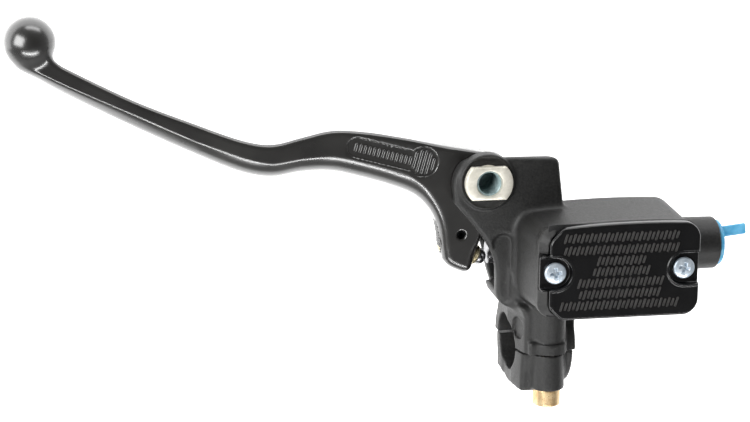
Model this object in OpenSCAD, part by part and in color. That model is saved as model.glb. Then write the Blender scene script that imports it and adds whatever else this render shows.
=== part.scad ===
// Motorcycle brake master cylinder with lever, reservoir and handlebar clamp.
// Origin: centre of the handlebar bore. +X along the bar to the fluid outlet,
// +Y forwards, +Z up to the reservoir cap.

/* [Handlebar clamp] */
// Radius of the handlebar
bar_r = 11; // [10.9:0.05:11.2]
// Outer radius of the clamp ring
ring_r = 16.4; // [15.5:0.1:17.5]
// Left face of the clamp's body half
clamp_x0 = -12; // [-14:0.5:-10]
// Right face of the clamp's body half
clamp_x1 = 13.3; // [11:0.1:15]
// How much narrower the cap is at each side
cap_step = 1.1; // [0:0.1:2]
// Half of the gap at the split
split_half = 0.35; // [0.2:0.05:0.8]
// Distance of each clamp bolt from the bar's centre plane
clamp_bolt_z = 15.6; // [15:0.1:18]
// Place of the clamp bolts along the bar
clamp_bolt_x = 0.6; // [-2:0.1:3]
// Radius of the column round a clamp bolt
column_r = 6.6; // [5.5:0.1:7.5]
// Radius of the clamp bolt's shank
clamp_shank_r = 3; // [2.5:0.1:4]
// Radius of the clamp bolt's head
clamp_head_r = 5.2; // [4:0.1:5.5]

/* [Cylinder] */
// Distance of the cylinder's axis in front of the bar
cyl_y = 35.8; // [33:0.1:38]
// Outer radius of the cylinder housing
cyl_r = 11; // [10:0.1:12]
// Outer radius of the outlet boss
outlet_r = 10; // [9:0.1:11]
// End face of the outlet boss
outlet_x = 70; // [66:0.5:74]
// Piston bore radius
bore_r = 6.5; // [5.5:0.05:8]
// Running clearance between piston and bore
run_gap = 0.05; // [0.02:0.01:0.1]
// Place of the housing's open end
mouth_x = -11.5; // [-12:0.1:-10]

/* [Reservoir] */
// Centre of the reservoir along the bar
res_x = 20.4; // [18:0.1:23]
// Centre of the reservoir in front of the bar
res_y = 37.5; // [36:0.1:39]
// Length of the reservoir cap
cap_l = 60; // [56:0.5:64]
// Width of the reservoir cap
cap_w = 35.6; // [33:0.2:38]
// Corner radius of the cap
cap_corner = 5.5; // [4:0.1:7]
// Height of the reservoir rim
rim_z = 35.5; // [32:0.5:38]
// Height of the cap's top face
cap_z = 40.5; // [38:0.5:43]
// Wall thickness of the reservoir
wall = 3; // [2.5:0.1:4]
// Distance between the two cap screws
screw_pitch = 48.4; // [46:0.2:50]
// Width of the rim left open beside the cap, at its lever end
rim_band = 3.6; // [2:0.1:5]
// Radius of the pocket round each cap screw
pocket_r = 5.8; // [5:0.1:6.5]

/* [Lever] */
// Pivot axis, sideways
pivot_x = -23.2; // [-25:0.1:-21]
// Pivot axis, forwards
pivot_y = 65.9; // [63:0.1:68]
// Half of the lever's thickness at the pivot
lever_half = 6.4; // [5:0.1:6.6]
// Radius of the ball at the end
ball_r = 9.2; // [8:0.1:10]
// Radius of the lever's eye
eye_r = 10.8; // [9:0.1:12]
// Half of the slot between the ears
slot_half = 6.8; // [6:0.1:7.5]
// Outer face of each ear
ear_half = 12.6; // [11:0.1:14]

/* [Pivot bolt] */
// Radius of the bolt's bearing part
bolt_r = 6.5; // [6:0.1:7]
// Radius of the mirror thread
mirror_r = 4.25; // [4:0.05:4.6]
// Radius of the bolt's head
bolt_head_r = 9.1; // [8:0.1:10]
// Top face of the head
bolt_top_z = 16.4; // [15:0.1:18]

/* [Adjuster] */
// Radius of the adjuster screw
adj_r = 3.9; // [3:0.1:4.5]
// Tilt of the adjuster below the X axis, in degrees
adj_tilt = 24.4; // [15:0.1:30]
// Radius of the adjuster's round tip
adj_ball_r = 3.2; // [2.5:0.1:3.8]

/* [Hidden] */
$fn = 64;

eps = 0.01;

// Cylinder stations along X
snap_x = 5;            // snap ring's outer face
washer_x = 6.2;        // stop washer's outer face
shoulder_x = 7.2;      // piston's shoulder at rest, against the stop washer
bore_end_x = 55;       // closed end of the bore
port_x = 60;           // bottom of the outlet port
port_r = 4.25;         // outlet port's thread radius
counter_r = 9;         // counterbore for the boot and snap ring
waist_r = 4;           // piston's waist and tail
guard_y = 22.8;        // floor of the lever slot
low_eye_r = 7.8;       // eye of the lower ear
ear_lean = 14.6;       // lean of the pivot block's front face, degrees
cup_x = 34.4;          // back of the primary cup
cup_end_x = 38.4;      // front of the primary cup
seat_x = 40;           // front of the spring seat

// Round tip of the adjuster at rest
tip_x = -23.6;
tip_y = 34.3;
rod_face_x = tip_x + adj_ball_r + 0.3;  // push rod's flat end, 0.3 clear of the tip

// Reservoir
res_l = cap_l - 1.6;
res_w = cap_w - 1.6;
res_floor_z = 12.5;
gasket_t = 1;
cap_left = res_x - cap_l / 2;
tongue_half = pocket_r + 0.9;
screw_boss_r = 4.4;
glass_x = 20.4;
glass_z = 24;
glass_r = 7;

// Lever outline: control points of the blade, from the pivot to the ball and back.
// Upper edge, inner end first
blade_top = [[-34, 77.8], [-46, 79.8], [-58, 82.1], [-69, 83.9], [-80, 84.6], [-91, 82.4],
             [-102, 80.1], [-113, 82], [-129.5, 88.4], [-151, 97.5], [-172, 108.4],
             [-180.5, 113.2]];
// Lower edge, outer end first
blade_low = [[-181.5, 105.6], [-172, 99.6], [-151, 88.2], [-130, 77.9], [-113.4, 70.6],
             [-102, 68.3], [-91, 69.8], [-80, 69.8], [-69, 67.2], [-57.5, 63.6],
             [-48.7, 59.7], [-43, 54], [-39.9, 47.4], [-38.7, 39.5]];
// Lug edge, from its lower left round to the right side
lug_edge = [[-37.2, 34.8], [-35, 33], [-31, 31], [-28, 29.6], [-26.5, 30.2], [-26, 33],
            [-24.8, 38.5], [-23.6, 43], [-21, 54]];
ball_at = [-187.3, 119.5];

function catmull(a, b, c, d, t) =
    0.5 * (2 * b + (c - a) * t + (2 * a - 5 * b + 4 * c - d) * t * t
           + (3 * b - a - 3 * c + d) * t * t * t);

// Smooth open curve through the points, with n steps between neighbours
function smooth(p, n) = [
    for (i = [0 : len(p) - 2], k = [0 : n - 1])
        catmull(p[max(i - 1, 0)], p[i], p[i + 1], p[min(i + 2, len(p) - 1)], k / n),
    p[len(p) - 1]];

module x_cyl(x0, x1, r, y = cyl_y, z = 0) {
    translate([x0, y, z]) rotate([0, 90, 0]) cylinder(h = x1 - x0, r = r);
}

module y_cyl(x, z, y0, y1, r) {
    translate([x, y0, z]) rotate([-90, 0, 0]) cylinder(h = y1 - y0, r = r);
}

module z_cyl(x, y, z0, z1, r) {
    translate([x, y, z0]) cylinder(h = z1 - z0, r = r);
}

// Ring round the X axis of the cylinder
module x_ring(x0, x1, r_out, r_in) {
    difference() {
        x_cyl(x0, x1, r_out);
        x_cyl(x0 - 1, x1 + 1, r_in);
    }
}

// Upright block with round corners, centred on the reservoir
module round_block(l, w, z0, z1, r) {
    translate([res_x, res_y, z0]) {
        translate([-l / 2 + r, -w / 2, 0]) cube([l - 2 * r, w, z1 - z0]);
        translate([-l / 2, -w / 2 + r, 0]) cube([l, w - 2 * r, z1 - z0]);
        for (sx = [-1, 1], sy = [-1, 1])
            translate([sx * (l / 2 - r), sy * (w / 2 - r), 0]) cylinder(h = z1 - z0, r = r);
    }
}

// Flat shape of one pivot ear with the guard beside the push-rod slot
module ear_shape() {
    intersection() {
        union() {
            translate([pivot_x, pivot_y]) circle(r = 12.2);
            polygon([[-33.6, 60], [-29.5, 51.5], [-22.5, 42.4], [-20, 38], [-20, 21],
                     [-18, 18], [-14.5, 16.8], [0, 16.8], [6, 30], [6, 58.2], [4.6, 70.5],
                     [3.8, 73.4], [1.6, 74.6], [-12, 75.6], [-16, 75.8], [-24, 77.5]]);
        }
        translate([-60, 0]) square([100, 76]);
    }
}

// Lower ear: a smaller eye, and the block drawn back from the upper ear's edge
module low_ear_shape() {
    translate([pivot_x, pivot_y]) circle(r = low_eye_r);
    intersection() {
        ear_shape();
        polygon([[-22.5, 42.4], [-20, 38], [-20, 16], [8, 16], [8, 69.5], [pivot_x, 69.5],
                 [pivot_x - low_eye_r, pivot_y]]);
    }
}

// Room for the lever between the ears, down to the guard's floor
module lever_room() {
    translate([pivot_x, pivot_y]) circle(r = eye_r + 1);
    polygon([[-60, guard_y], [mouth_x, guard_y], [mouth_x, 58], [-16, 66], [-30, 90], [-60, 90]]);
}

// Clamp ring with a column for each bolt, in front of the split
module clamp_ring() {
    x_cyl(clamp_x0, clamp_x1, ring_r, 0, 0);
    y_cyl(clamp_bolt_x, clamp_bolt_z, -5, 21, column_r);
    y_cyl(clamp_bolt_x, -clamp_bolt_z, -5, 15, column_r);
}

module body() {
    color([0.13, 0.13, 0.14])
    difference() {
        union() {
            // Cylinder housing and outlet boss
            x_cyl(mouth_x, 50, cyl_r);
            x_cyl(48, outlet_x - 1.2, outlet_r);
            translate([outlet_x - 1.2 - eps, cyl_y, 0]) rotate([0, 90, 0])
                cylinder(h = 1.2 + eps, r1 = outlet_r, r2 = outlet_r - 1.2);
            // Reservoir tub
            round_block(res_l, res_w, 2, rim_z, cap_corner - 0.8);
            round_block(cap_l - 0.4, cap_w - 0.4, rim_z - 2.5, rim_z, cap_corner - 0.2);
            // Raised rim beside the cap's lever end, open at the screw
            difference() {
                round_block(cap_l - 0.4, cap_w - 0.4, rim_z - 1, cap_z - 1.6, cap_corner - 0.2);
                translate([cap_left + rim_band - 0.3, 0, rim_z]) cube([80, 80, 10]);
                translate([cap_left - 5, res_y - tongue_half - 0.3, rim_z])
                    cube([20, 2 * tongue_half + 0.6, 10]);
            }
            // Shoulder of the clamp half, beside the near bolt
            translate([-11, split_half, 8]) cube([18, 19, 9.2]);
            // Ears and the block that joins them
            difference() {
                translate([0, 0, -slot_half]) linear_extrude(ear_half + slot_half) ear_shape();
                translate([-60, 75.9, ear_half]) rotate([-ear_lean, 0, 0])
                    translate([0, 0, -60]) cube([120, 30, 60 + eps]);
            }
            translate([0, 0, -ear_half]) linear_extrude(ear_half - slot_half + eps)
                low_ear_shape();
            z_cyl(pivot_x, pivot_y, ear_half - eps, ear_half + 0.8, 10.4);
            // Web from the cylinder down to the clamp
            translate([clamp_x0, 8, -11]) cube([clamp_x1 - clamp_x0, 20, 22]);
            // Clamp half
            intersection() {
                clamp_ring();
                translate([-30, split_half, -30]) cube([60, 40, 60]);
            }
            for (s = [-1, 1])
                y_cyl(clamp_bolt_x, s * clamp_bolt_z, split_half, 2.6, column_r + 0.5);
        }
        // Handlebar
        x_cyl(clamp_x0 - 5, clamp_x1 + 5, bar_r, 0, 0);
        // Clamp bolt threads
        for (s = [-1, 1])
            y_cyl(clamp_bolt_x, s * clamp_bolt_z, -1, 12, clamp_shank_r + 0.02);
        // Lever slot
        translate([0, 0, -slot_half]) linear_extrude(2 * slot_half) lever_room();
        // Room beside the push rod, for the boot's outer folds
        x_cyl(-25, mouth_x + eps, counter_r);
        // Pivot bolt: bearing hole above, threaded hole below
        z_cyl(pivot_x, pivot_y, 0, 20, bolt_r + 0.02);
        z_cyl(pivot_x, pivot_y, -20, 1, 4.02);
        // Counterbore, snap ring groove and piston bore
        x_cyl(mouth_x - 1, shoulder_x, counter_r);
        x_cyl(snap_x, washer_x, counter_r + 0.8);
        x_cyl(shoulder_x - 1, bore_end_x, bore_r);
        // Outlet passage and port
        x_cyl(bore_end_x - 1, port_x + 1, 1.5);
        x_cyl(port_x, outlet_x + 1, port_r);
        // Reservoir cavity, leaving a boss for each cap screw
        difference() {
            round_block(res_l - 2 * wall, res_w - 2 * wall, res_floor_z, rim_z + 1, 3);
            for (s = [-1, 1]) {
                z_cyl(res_x + s * screw_pitch / 2, res_y, 0, rim_z + 2, screw_boss_r);
                translate([res_x + s * (screw_pitch / 2 + 4) - 4, res_y - screw_boss_r, 0])
                    cube([8, 2 * screw_boss_r, rim_z + 2]);
            }
        }
        for (s = [-1, 1])
            z_cyl(res_x + s * screw_pitch / 2, res_y, rim_z - 12, rim_z + 2, 2.02);
        // Feed hole and compensating hole
        z_cyl(24, cyl_y, 3, res_floor_z + 1, 1.5);
        z_cyl(40.6, cyl_y, 3, res_floor_z + 1, 0.35);
        // Sight glass window in the rear wall
        y_cyl(glass_x, glass_z, res_y - res_w / 2 - 3, res_y - res_w / 2 + 5, glass_r);
        // Shallow round recess on the clamp's left side
        x_cyl(clamp_x0 - 1, clamp_x0 + 1.8, 4.2, 9, 13);
    }
}

module clamp_cap() {
    color([0.13, 0.13, 0.14])
    difference() {
        union() {
            intersection() {
                x_cyl(clamp_x0 + cap_step, clamp_x1 - cap_step, ring_r, 0, 0);
                translate([-30, -40, -30]) cube([60, 40 - split_half, 60]);
            }
            for (s = [-1, 1]) {
                y_cyl(clamp_bolt_x, s * clamp_bolt_z, -14, -split_half, column_r - 0.6);
                y_cyl(clamp_bolt_x, s * clamp_bolt_z, -2.6, -split_half, column_r + 0.2);
            }
        }
        x_cyl(clamp_x0 - 5, clamp_x1 + 5, bar_r, 0, 0);
        for (s = [-1, 1])
            y_cyl(clamp_bolt_x, s * clamp_bolt_z, -20, 1, clamp_shank_r + 0.3);
    }
}

module clamp_bolts() {
    color([0.72, 0.55, 0.28])
    for (s = [-1, 1])
        difference() {
            union() {
                y_cyl(clamp_bolt_x, s * clamp_bolt_z, -14.1, 11, clamp_shank_r);
                y_cyl(clamp_bolt_x, s * clamp_bolt_z, -20.6, -14, clamp_head_r);
            }
            // Hexagon socket
            translate([clamp_bolt_x, -21, s * clamp_bolt_z]) rotate([-90, 0, 0])
                cylinder(h = 4, r = 2.9, $fn = 6);
        }
}

// Cap's flat shape: cut back at the lever end, with a tongue round the screw
module cap_slab(l, w, z0, z1, r) {
    difference() {
        round_block(l, w, z0, z1, r);
        for (s = [-1, 1])
            translate([cap_left - 5, res_y + s * 30 - 30 + s * tongue_half, z0 - 1])
                cube([5 + rim_band, 60, z1 - z0 + 2]);
    }
}

module reservoir_cap() {
    cap_z0 = rim_z + gasket_t;
    color([0.04, 0.04, 0.045])
    difference() {
        union() {
            cap_slab(cap_l, cap_w, cap_z0, cap_z - 1, cap_corner);
            // Raised panel between the screws
            cap_slab(cap_l - 1.6, cap_w - 1.6, cap_z0, cap_z, cap_corner - 0.8);
        }
        for (s = [-1, 1]) {
            // Pocket round each screw, open to the short edge
            z_cyl(res_x + s * screw_pitch / 2, res_y, cap_z - 2.4, cap_z + 1, pocket_r);
            translate([res_x + s * (screw_pitch / 2 + 5) - 5, res_y - pocket_r, cap_z - 2.4])
                cube([10, 2 * pocket_r, 4]);
            z_cyl(res_x + s * screw_pitch / 2, res_y, cap_z0 - 1, cap_z, 2.3);
        }
    }
}

module cap_screws() {
    color([0.7, 0.72, 0.75])
    for (s = [-1, 1])
        translate([res_x + s * screw_pitch / 2, res_y, 0])
            difference() {
                union() {
                    translate([0, 0, rim_z - 10]) cylinder(h = cap_z - 2.4 - rim_z + 10.1, r = 2);
                    translate([0, 0, cap_z - 2.4]) cylinder(h = 1.6, r = 4);
                    translate([0, 0, cap_z - 0.8]) cylinder(h = 0.6, r1 = 4, r2 = 3.2);
                }
                for (a = [20, 110])
                    translate([0, 0, cap_z - 1.2]) rotate([0, 0, a])
                        cube([5, 0.9, 2.4], center = true);
            }
}

module diaphragm() {
    color([0.08, 0.08, 0.08])
    difference() {
        union() {
            difference() {
                round_block(cap_l - 1, cap_w - 1, rim_z, rim_z + gasket_t, cap_corner - 0.5);
                translate([cap_left - 5, 0, rim_z - 1]) cube([5 + rim_band, 80, 3]);
            }
            round_block(38, 24, rim_z - 9, rim_z + gasket_t / 2, 3);
        }
        round_block(36, 22, rim_z - 8, rim_z + gasket_t + 1, 2);
        for (s = [-1, 1])
            z_cyl(res_x + s * screw_pitch / 2, res_y, rim_z - 1, rim_z + 2, 2.3);
    }
}

module diaphragm_plate() {
    color([0.85, 0.85, 0.82])
    difference() {
        round_block(35, 21, rim_z - 7.9, rim_z - 6.4, 2);
        round_block(20, 8, rim_z - 9, rim_z - 5, 2);
    }
}

module sight_glass() {
    y_out = res_y - res_w / 2;
    color([0.85, 0.9, 0.9, 0.4])
        y_cyl(glass_x, glass_z, y_out + 0.4, y_out + wall - 0.2, glass_r);
}

module sight_glass_ring() {
    y_out = res_y - res_w / 2;
    color([0.1, 0.1, 0.1])
    difference() {
        y_cyl(glass_x, glass_z, y_out - 0.6, y_out + 0.4, glass_r);
        y_cyl(glass_x, glass_z, y_out - 1, y_out + 1, glass_r - 1.4);
    }
}

module pivot_bolt() {
    head_z = ear_half + 0.8;
    color([0.75, 0.73, 0.68])
    difference() {
        union() {
            z_cyl(pivot_x, pivot_y, -slot_half, head_z + eps, bolt_r);
            z_cyl(pivot_x, pivot_y, -20.4, -slot_half + eps, 4);
            intersection() {
                z_cyl(pivot_x, pivot_y, head_z, bolt_top_z, bolt_head_r);
                // Two spanner flats
                translate([pivot_x - 15, pivot_y - 6.4, head_z]) cube([30, 12.8, 10]);
            }
        }
        // Mirror thread with a countersunk mouth
        z_cyl(pivot_x, pivot_y, -1, bolt_top_z + 1, mirror_r);
        translate([pivot_x, pivot_y, bolt_top_z - 1])
            cylinder(h = 1 + eps, r1 = mirror_r, r2 = mirror_r + 1);
    }
}

module pivot_washer() {
    color([0.7, 0.7, 0.7])
    difference() {
        z_cyl(pivot_x, pivot_y, -ear_half - 1.2, -ear_half, 6.8);
        z_cyl(pivot_x, pivot_y, -20, 0, 4.2);
    }
}

module pivot_nut() {
    color([0.7, 0.7, 0.7])
    difference() {
        translate([pivot_x, pivot_y, -ear_half - 7.2]) cylinder(h = 6, r = 6.4, $fn = 6);
        z_cyl(pivot_x, pivot_y, -25, 0, 4.02);
    }
}

module snap_ring() {
    color([0.3, 0.3, 0.32])
    difference() {
        x_ring(snap_x, washer_x, counter_r + 0.7, counter_r - 1.6);
        translate([snap_x - 1, cyl_y - 14, -2]) cube([4, 10, 4]);
    }
}

module stop_washer() {
    color([0.6, 0.6, 0.6]) x_ring(washer_x, shoulder_x, counter_r - 0.05, waist_r + 0.3);
}

// Bellows: a flange in the counterbore, three folds and a lip on the push rod
module dust_boot() {
    lip_x = rod_face_x + 2.9;
    fold = (snap_x - 2 - lip_x - 1.6) / 6;
    outer = [for (i = [0 : 6]) [lip_x + 1.6 + i * fold, i % 2 == 0 ? 5.6 : 7.4]];
    inner = [for (i = [6 : -1 : 0]) [lip_x + 1.6 + i * fold, i % 2 == 0 ? 4.7 : 6.5]];
    color([0.05, 0.05, 0.05])
    translate([0, cyl_y, 0]) rotate([0, 90, 0]) rotate_extrude()
        polygon([for (p = concat(
            [[lip_x, 3.3], [lip_x, 5.4]], outer,
            [[snap_x - 2, counter_r - 0.02], [snap_x - 0.05, counter_r - 0.02],
             [snap_x - 0.05, 5.6]], inner, [[lip_x + 1.6, 3.3]])) [p[1], p[0]]]);
}

// Coil spring between the spring seat and the closed end of the bore
module return_spring() {
    wire_r = 0.6;
    coil_r = 5;
    turns = 6;
    n = 18;
    m = 8;
    x0 = seat_x + wire_r + 0.05;
    x1 = bore_end_x - wire_r - 0.05;
    rings = [for (i = [0 : turns * n]) let (a = 360 * i / n)
        [for (k = [0 : m - 1]) let (b = 360 * k / m, r = coil_r + wire_r * cos(b))
            [x0 + (x1 - x0) * i / (turns * n) + wire_r * sin(b),
             cyl_y + r * cos(a), r * sin(a)]]];
    last = turns * n;
    points = [for (ring = rings, p = ring) p];
    sides = [for (i = [0 : last - 1], k = [0 : m - 1]) let (j = (k + 1) % m)
        [i * m + k, i * m + j, (i + 1) * m + j, (i + 1) * m + k]];
    color([0.6, 0.6, 0.62])
        polyhedron(points, concat(sides, [[for (k = [m - 1 : -1 : 0]) k]],
                                  [[for (k = [0 : m - 1]) last * m + k]]), convexity = 10);
}

// Flat shape of the blade and the lug
module blade_shape() {
    polygon(concat(smooth(blade_top, 4), smooth(blade_low, 4), smooth(lug_edge, 4),
                   [[pivot_x + 4, pivot_y]]));
}

module lever() {
    recess_tilt = -15.5;
    color([0.04, 0.04, 0.045])
    difference() {
        union() {
            translate([0, 0, -lever_half]) linear_extrude(2 * lever_half) blade_shape();
            z_cyl(pivot_x, pivot_y, -lever_half, lever_half, eye_r);
            translate([ball_at[0], ball_at[1], 0]) sphere(r = ball_r);
            // Neck into the ball
            translate([-179.5, 108.5, 0]) rotate([0, 0, 127]) rotate([0, 90, 0])
                cylinder(h = 12, r = 5);
        }
        // Eye for the bush
        z_cyl(pivot_x, pivot_y, -10, 10, bolt_r + 1.5);
        // Adjuster thread
        translate([tip_x, tip_y, 0]) rotate([0, 0, -adj_tilt]) rotate([0, -90, 0])
            translate([0, 0, -8]) cylinder(h = 30, r = adj_r + 0.02);
        // Lock screw hole
        z_cyl(-31.3, 44.3, -1, lever_half + 1, 1.62);
        // Shallow pill-shaped recess with a roundel on the upper face
        translate([-56.5, 75, lever_half - 0.5]) rotate([0, 0, recess_tilt]) {
            linear_extrude(2) {
                translate([-13, -4.6]) square([25, 9.2]);
                translate([-13, 0]) circle(r = 4.6);
                translate([11.2, 0.6]) circle(r = 5.6);
            }
        }
    }
}

module lever_bush() {
    color([0.7, 0.5, 0.3])
    difference() {
        z_cyl(pivot_x, pivot_y, -lever_half, lever_half, bolt_r + 1.5);
        z_cyl(pivot_x, pivot_y, -10, 10, bolt_r + run_gap);
    }
}

module adjuster_screw() {
    color([0.75, 0.6, 0.35])
    translate([tip_x, tip_y, 0]) rotate([0, 0, -adj_tilt]) rotate([0, -90, 0])
        difference() {
            union() {
                sphere(r = adj_ball_r);
                translate([0, 0, 0.4]) cylinder(h = 15.2, r = adj_ball_r - 0.3);
                translate([0, 0, 1.6]) cylinder(h = 14, r = adj_r);
            }
            // Hexagon socket
            translate([0, 0, 12]) cylinder(h = 5, r = 2.2, $fn = 6);
        }
}

module lock_screw() {
    color([0.6, 0.6, 0.6])
    difference() {
        z_cyl(-31.3, 44.3, -0.9, lever_half - 1.5, 1.6);
        translate([-31.3, 44.3, lever_half - 3]) cylinder(h = 3, r = 0.85, $fn = 6);
    }
}

module piston() {
    color([0.75, 0.75, 0.77])
    difference() {
        union() {
            x_cyl(-6, shoulder_x + 1, waist_r);
            x_cyl(shoulder_x + 0.05, 14, bore_r - run_gap);
            x_cyl(14 - eps, 32, waist_r);
            x_cyl(32 - eps, cup_x, bore_r - run_gap);
            x_cyl(cup_x - eps, seat_x - 1.6, 3);
        }
        // Groove for the secondary cup
        x_ring(9.5, 12.5, bore_r + 1, 4.4);
        // Socket for the push rod
        x_cyl(-7, 3, 2.62);
    }
}

module push_rod() {
    color([0.62, 0.62, 0.64])
    union() {
        x_cyl(rod_face_x, rod_face_x + 2.6, 4.4);
        x_cyl(rod_face_x + 2, 2.9, 2.6);
    }
}

module primary_cup() {
    color([0.06, 0.06, 0.06])
    translate([0, cyl_y, 0]) rotate([0, 90, 0]) rotate_extrude()
        polygon([[3.02, cup_x], [5.9, cup_x], [6.45, cup_end_x], [5.4, cup_end_x],
                 [4.8, cup_x + 1.6], [3.02, cup_x + 1.6]]);
}

module secondary_cup() {
    color([0.06, 0.06, 0.06]) x_ring(9.7, 12.3, bore_r - run_gap, 4.42);
}

module spring_seat() {
    color([0.6, 0.6, 0.6])
    union() {
        x_ring(cup_x + 1.62, seat_x - 1.5, 4.2, 3.02);
        x_cyl(seat_x - 1.58, seat_x, 5.2);
    }
}

// Transit plug with a pull tab
module outlet_plug() {
    color([0.35, 0.65, 0.85])
    union() {
        x_cyl(port_x + 2, outlet_x + 0.4, port_r - 0.25);
        x_cyl(outlet_x + 0.3, outlet_x + 1.8, 8.7);
        x_cyl(outlet_x + 1.7, outlet_x + 3.2, 5);
        translate([outlet_x + 2.4, 39, 2]) rotate([0, 0, 6]) cube([9.6, 3.6, 1.2]);
        translate([outlet_x + 2.4, 38.4, -1]) rotate([0, 0, 6]) cube([9.6, 1.2, 4.2]);
    }
}

body();
clamp_cap();
clamp_bolts();
reservoir_cap();
cap_screws();
diaphragm();
diaphragm_plate();
sight_glass();
sight_glass_ring();
pivot_bolt();
pivot_washer();
pivot_nut();
snap_ring();
stop_washer();
dust_boot();
return_spring();
lever();
lever_bush();
adjuster_screw();
lock_screw();
piston();
push_rod();
primary_cup();
secondary_cup();
spring_seat();
outlet_plug();
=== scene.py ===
"""Studio scene of a handlebar brake master cylinder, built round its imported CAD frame.

Lengths are in millimetres until a mesh is made. Castings, forgings and mouldings are closed
surfaces of a distance field, because cast fillets and blended bosses need one. Turned parts
are profiles carried round an axis.
"""
import math

import bmesh
import bpy
import numpy as np
from mathutils import Matrix, Vector


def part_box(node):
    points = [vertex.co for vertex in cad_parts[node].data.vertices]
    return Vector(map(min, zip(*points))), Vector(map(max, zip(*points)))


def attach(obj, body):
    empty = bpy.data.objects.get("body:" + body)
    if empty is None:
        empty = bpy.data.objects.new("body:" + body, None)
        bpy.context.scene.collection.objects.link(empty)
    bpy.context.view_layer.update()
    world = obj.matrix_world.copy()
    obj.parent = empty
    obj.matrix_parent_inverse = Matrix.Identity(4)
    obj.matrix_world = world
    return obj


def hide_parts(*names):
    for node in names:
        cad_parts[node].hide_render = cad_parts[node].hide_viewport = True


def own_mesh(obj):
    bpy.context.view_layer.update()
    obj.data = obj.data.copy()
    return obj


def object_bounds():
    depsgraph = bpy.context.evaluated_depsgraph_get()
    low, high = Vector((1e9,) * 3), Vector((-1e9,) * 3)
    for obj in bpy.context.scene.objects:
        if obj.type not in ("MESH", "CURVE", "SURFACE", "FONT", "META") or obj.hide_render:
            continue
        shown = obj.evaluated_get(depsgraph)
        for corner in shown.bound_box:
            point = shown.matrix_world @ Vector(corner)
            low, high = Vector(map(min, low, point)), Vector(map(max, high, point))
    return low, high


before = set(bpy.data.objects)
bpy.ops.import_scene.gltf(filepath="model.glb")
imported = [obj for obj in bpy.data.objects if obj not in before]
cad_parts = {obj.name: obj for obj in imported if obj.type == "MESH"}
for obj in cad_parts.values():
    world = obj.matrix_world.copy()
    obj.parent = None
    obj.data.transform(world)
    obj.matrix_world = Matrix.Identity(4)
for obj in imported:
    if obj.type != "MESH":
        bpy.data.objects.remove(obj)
CAD_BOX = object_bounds()
MM = 0.001


def span(node):
    """A CAD node's lowest and highest corner at rest, in millimetres."""
    low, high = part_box(node)
    return np.array(low) / MM, np.array(high) / MM


def middle(node):
    """The centre of a CAD node's box, in millimetres."""
    low, high = span(node)
    return (low + high) / 2


# ---------------------------------------------------------------- places, from the frame
BAR_R = 11.0                # the handlebar
SOCKET_HEAD_R = 5.2         # a clamp bolt's head
SCREW_HEAD_R = 4.0          # a cap screw's head
CLAMP = span("clamp_cap")
CLAMP_X0, CLAMP_X1 = CLAMP[0][0] - 1.7, CLAMP[1][0] - 0.7
CYL_Y = middle("piston")[1]
PIVOT = middle("pivot_washer")
CAP = span("reservoir_cap")
CAP_X0, CAP_Y0, CAP_Z0 = CAP[0]
CAP_X1, CAP_Y1, CAP_Z = CAP[1]
RES_X, RES_Y = (CAP_X0 + CAP_X1) / 2, (CAP_Y0 + CAP_Y1) / 2
HALF_L, HALF_W = (CAP_X1 - CAP_X0) / 2, (CAP_Y1 - CAP_Y0) / 2
RIM_Z = CAP_Z0 - 1.0
SCREWS = span("cap_screws")
SCREW_X = (SCREWS[0][0] + SCREW_HEAD_R, SCREWS[1][0] - SCREW_HEAD_R)
BOLTS = span("clamp_bolts")
BOLT_X = middle("clamp_bolts")[0]
BOLT_Z = BOLTS[1][2] - SOCKET_HEAD_R
BOLT_END = BOLTS[0][1]
HEAD_TOP = span("pivot_bolt")[1][2]
OUTLET_X = 70.0             # the outlet boss's end
MOUTH_X = -11.5             # the cylinder's mouth
EAR_HALF = 12.6             # half the height over both ears
SLOT_HALF = 6.8             # half the lever slot's height
LEVER_HALF = 6.4            # half the lever's thickness at the eye
TONGUE_HALF = 6.7           # half the width of the cap's tongue
POCKET_R = 5.8              # the pocket round a cap screw
RIM_BAND = 3.6              # the rim seen beside the cap
RING_R = 16.4               # the clamp ring's outside
DRAFT, DRAFT_Z = 0.27, 5.0  # slope of the clamp's left wall, and where it starts
BORE_R = 6.5                # the cylinder's bore
PORT_R = 4.25               # the outlet port
BALL_R = 9.2                # the lever's ball end
EYE_R = 10.8                # the lever's eye
RECESS = 0.55               # depth of the lever's pill recess
ROD_R = 3.88                # the adjuster's thread
GLASS = middle("sight_glass")


# ---------------------------------------------------------------- distance fields
def join(a, b, k):
    """Union of two fields with a fillet of about k: the smaller one, lowered where they are close."""
    h = np.maximum(k - np.abs(a - b), 0) / k
    return np.minimum(a, b) - h * h * k / 4


def meet(a, b, k):
    """Intersection of two fields with a rounded edge of about k."""
    return -join(-a, -b, k)


def cut(a, b, k):
    """Field a with b taken away, the edge eased by about k."""
    return meet(a, -b, k)


def extrude(flat, t, low, high, r):
    """A flat distance given thickness along t from low to high, its edges rounded to radius r."""
    a = flat + r
    b = np.abs(t - (low + high) / 2) - (high - low) / 2 + r
    return np.minimum(np.maximum(a, b), 0) + np.hypot(np.maximum(a, 0), np.maximum(b, 0)) - r


def rect(u, v, half_u, half_v, r):
    """Distance in a plane to a rectangle about the origin with corner radius r."""
    a, b = np.abs(u) - half_u + r, np.abs(v) - half_v + r
    return np.minimum(np.maximum(a, b), 0) + np.hypot(np.maximum(a, 0), np.maximum(b, 0)) - r


def side(u, v, p, q):
    """Distance to the line through p and q, negative on its right as one goes from p to q."""
    dx, dy = q[0] - p[0], q[1] - p[1]
    return ((v - p[1]) * dx - (u - p[0]) * dy) / math.hypot(dx, dy)


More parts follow.
